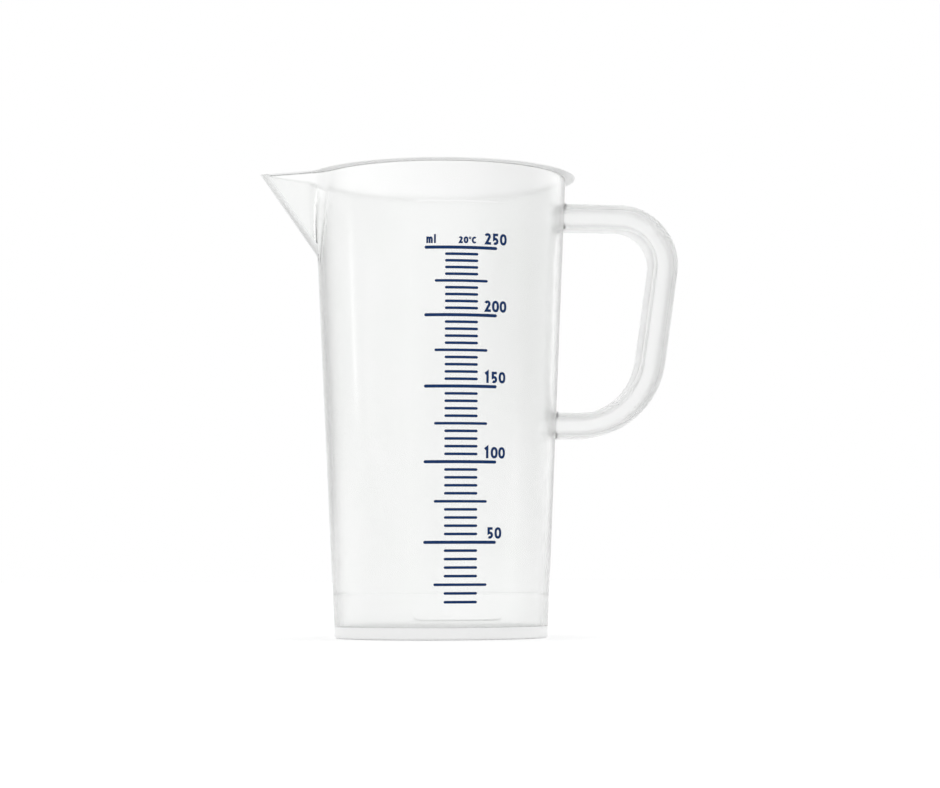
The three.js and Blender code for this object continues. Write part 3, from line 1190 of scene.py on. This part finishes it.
def build_stage(context):
    """Floor, world, lamps, and the camera at the photograph's viewing angle."""
    scene = context.scene
    stage = scene.jug_stage
    scene.view_settings.view_transform = "Standard"
    away = Vector((math.sin(stage.azimuth), -math.cos(stage.azimuth), 0))
    right = Vector((math.cos(stage.azimuth), math.sin(stage.azimuth), 0))
    axis = Vector((AXIS_X, 0, 0))
    eye = axis + away * stage.distance + Vector((0, 0, stage.eye_height))
    aim = axis + right * stage.aim_right + Vector((0, 0, stage.aim_height))

    # Floor: rings of a disc, fine near the jug
    ring = np.array(FLOOR_RINGS)[:, None]
    turn = np.linspace(0, 2 * math.pi, FLOOR_POINTS, endpoint=False)[None]
    level = np.broadcast_arrays(ring * np.cos(turn), ring * np.sin(turn), 0.0 * turn)
    disc = np.stack(level, axis=-1)
    faces = grid_faces(*disc.shape[:2])[:, ::-1].tolist() + [list(range(FLOOR_POINTS))]
    mesh = bpy.data.meshes.new("floor")
    mesh.from_pydata(disc.reshape(-1, 3).tolist(), [], faces)
    mesh.materials.append(white_paper(scene.jug_colours))
    floor = bpy.data.objects.new("floor", mesh)
    scene.collection.objects.link(floor)

    build_world(context, -away, right)
    strip_place = axis - right * STRIP_AWAY + Vector((0, 0, STRIP_HEIGHT))
    strip_aim = axis + Vector((0, 0, STRIP_AIM_HEIGHT))
    add_softbox(context, "strip_left", strip_place, strip_aim, STRIP_WIDTH, STRIP_TALL, STRIP_POWER)

    # Camera: turned to the point it aims at, then rolled about its own axis
    forward = (aim - eye).normalized()
    side = forward.cross(Vector((0, 0, 1))).normalized()
    up = side.cross(forward)
    across = side * math.cos(stage.roll) + up * math.sin(stage.roll)
    upright = up * math.cos(stage.roll) - side * math.sin(stage.roll)
    turn_to = Matrix((across, upright, -forward)).transposed().to_4x4()
    data = bpy.data.cameras.new("camera")
    data.sensor_fit = "HORIZONTAL"
    data.sensor_width = SENSOR_WIDTH
    data.lens = stage.lens
    camera = bpy.data.objects.new("camera", data)
    camera.matrix_world = Matrix.Translation(eye) @ turn_to
    scene.collection.objects.link(camera)
    scene.camera = camera


# Operators


class JUG_OT_moulding(bpy.types.Operator):
    """Builds the cup with its foot, lip, spout and handle as one moulding."""

    bl_idname = "jug.moulding"
    bl_label = "Moulding"

    def execute(self, context):
        build_moulding(context)
        return {"FINISHED"}


class JUG_OT_scale_lines(bpy.types.Operator):
    """Builds the printed lines of the scale."""

    bl_idname = "jug.scale_lines"
    bl_label = "Scale lines"

    def execute(self, context):
        for node in LINE_NODES:
            build_line(context, node)
        return {"FINISHED"}


class JUG_OT_scale_figures(bpy.types.Operator):
    """Builds the printed figures, the unit and the temperature."""

    bl_idname = "jug.scale_figures"
    bl_label = "Scale figures"

    def execute(self, context):
        sizes = context.scene.jug_print
        for volume in FIGURES:
            low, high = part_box(f"line_{volume:03d}_ml")
            line_z = (low.z + high.z) / 2
            build_word(
                context,
                f"figure_{volume}",
                str(volume),
                sizes.figure_height,
                sizes.figure_ink,
                sizes.figure_middle,
                line_z + sizes.figure_rise,
            )
        # The unit and the temperature stand over the top line, which is the last of these.
        unit_z = line_z + sizes.unit_rise
        build_word(
            context,
            "unit_ml",
            "ml",
            sizes.unit_height,
            sizes.small_ink,
            -sizes.unit_middle,
            unit_z,
        )
        build_word(
            context,
            "temperature",
            "20°C",
            sizes.note_height,
            sizes.small_ink,
            sizes.note_middle,
            unit_z,
        )
        return {"FINISHED"}


class JUG_OT_stage(bpy.types.Operator):
    """Builds the floor, the light and the camera."""

    bl_idname = "jug.stage"
    bl_label = "Stage"

    def execute(self, context):
        build_stage(context)
        return {"FINISHED"}


class JUG_PT_panel(bpy.types.Panel):
    """Lists the jug's pieces in the sidebar."""

    bl_label = "Measuring jug"
    bl_idname = "JUG_PT_panel"
    bl_space_type = "VIEW_3D"
    bl_region_type = "UI"
    bl_category = "Jug"

    def draw(self, context):
        for operator in OPERATORS:
            self.layout.operator(operator.bl_idname)
        for name in GROUPS:
            group = getattr(context.scene, name)
            box = self.layout.box()
            for key in group.__annotations__:
                box.prop(group, key)


GROUPS = {
    "jug_cup": CupSizes,
    "jug_spout": SpoutSizes,
    "jug_handle": HandleSizes,
    "jug_print": PrintSizes,
    "jug_colours": JugColours,
    "jug_stage": StageSizes,
}
OPERATORS = (JUG_OT_moulding, JUG_OT_scale_lines, JUG_OT_scale_figures, JUG_OT_stage)
CLASSES = (*GROUPS.values(), *OPERATORS, JUG_PT_panel)


def register():
    """Registers the classes and hangs the sizes on the scene."""
    for entry in CLASSES:
        bpy.utils.register_class(entry)
    for name, group in GROUPS.items():
        setattr(bpy.types.Scene, name, PointerProperty(type=group))


def unregister():
    """Takes the sizes off the scene and unregisters the classes."""
    for name in GROUPS:
        delattr(bpy.types.Scene, name)
    for entry in reversed(CLASSES):
        bpy.utils.unregister_class(entry)


def main():
    register()
    bpy.ops.jug.moulding()
    bpy.ops.jug.scale_lines()
    bpy.ops.jug.scale_figures()
    bpy.ops.jug.stage()


if __name__ == "__main__":
    main()
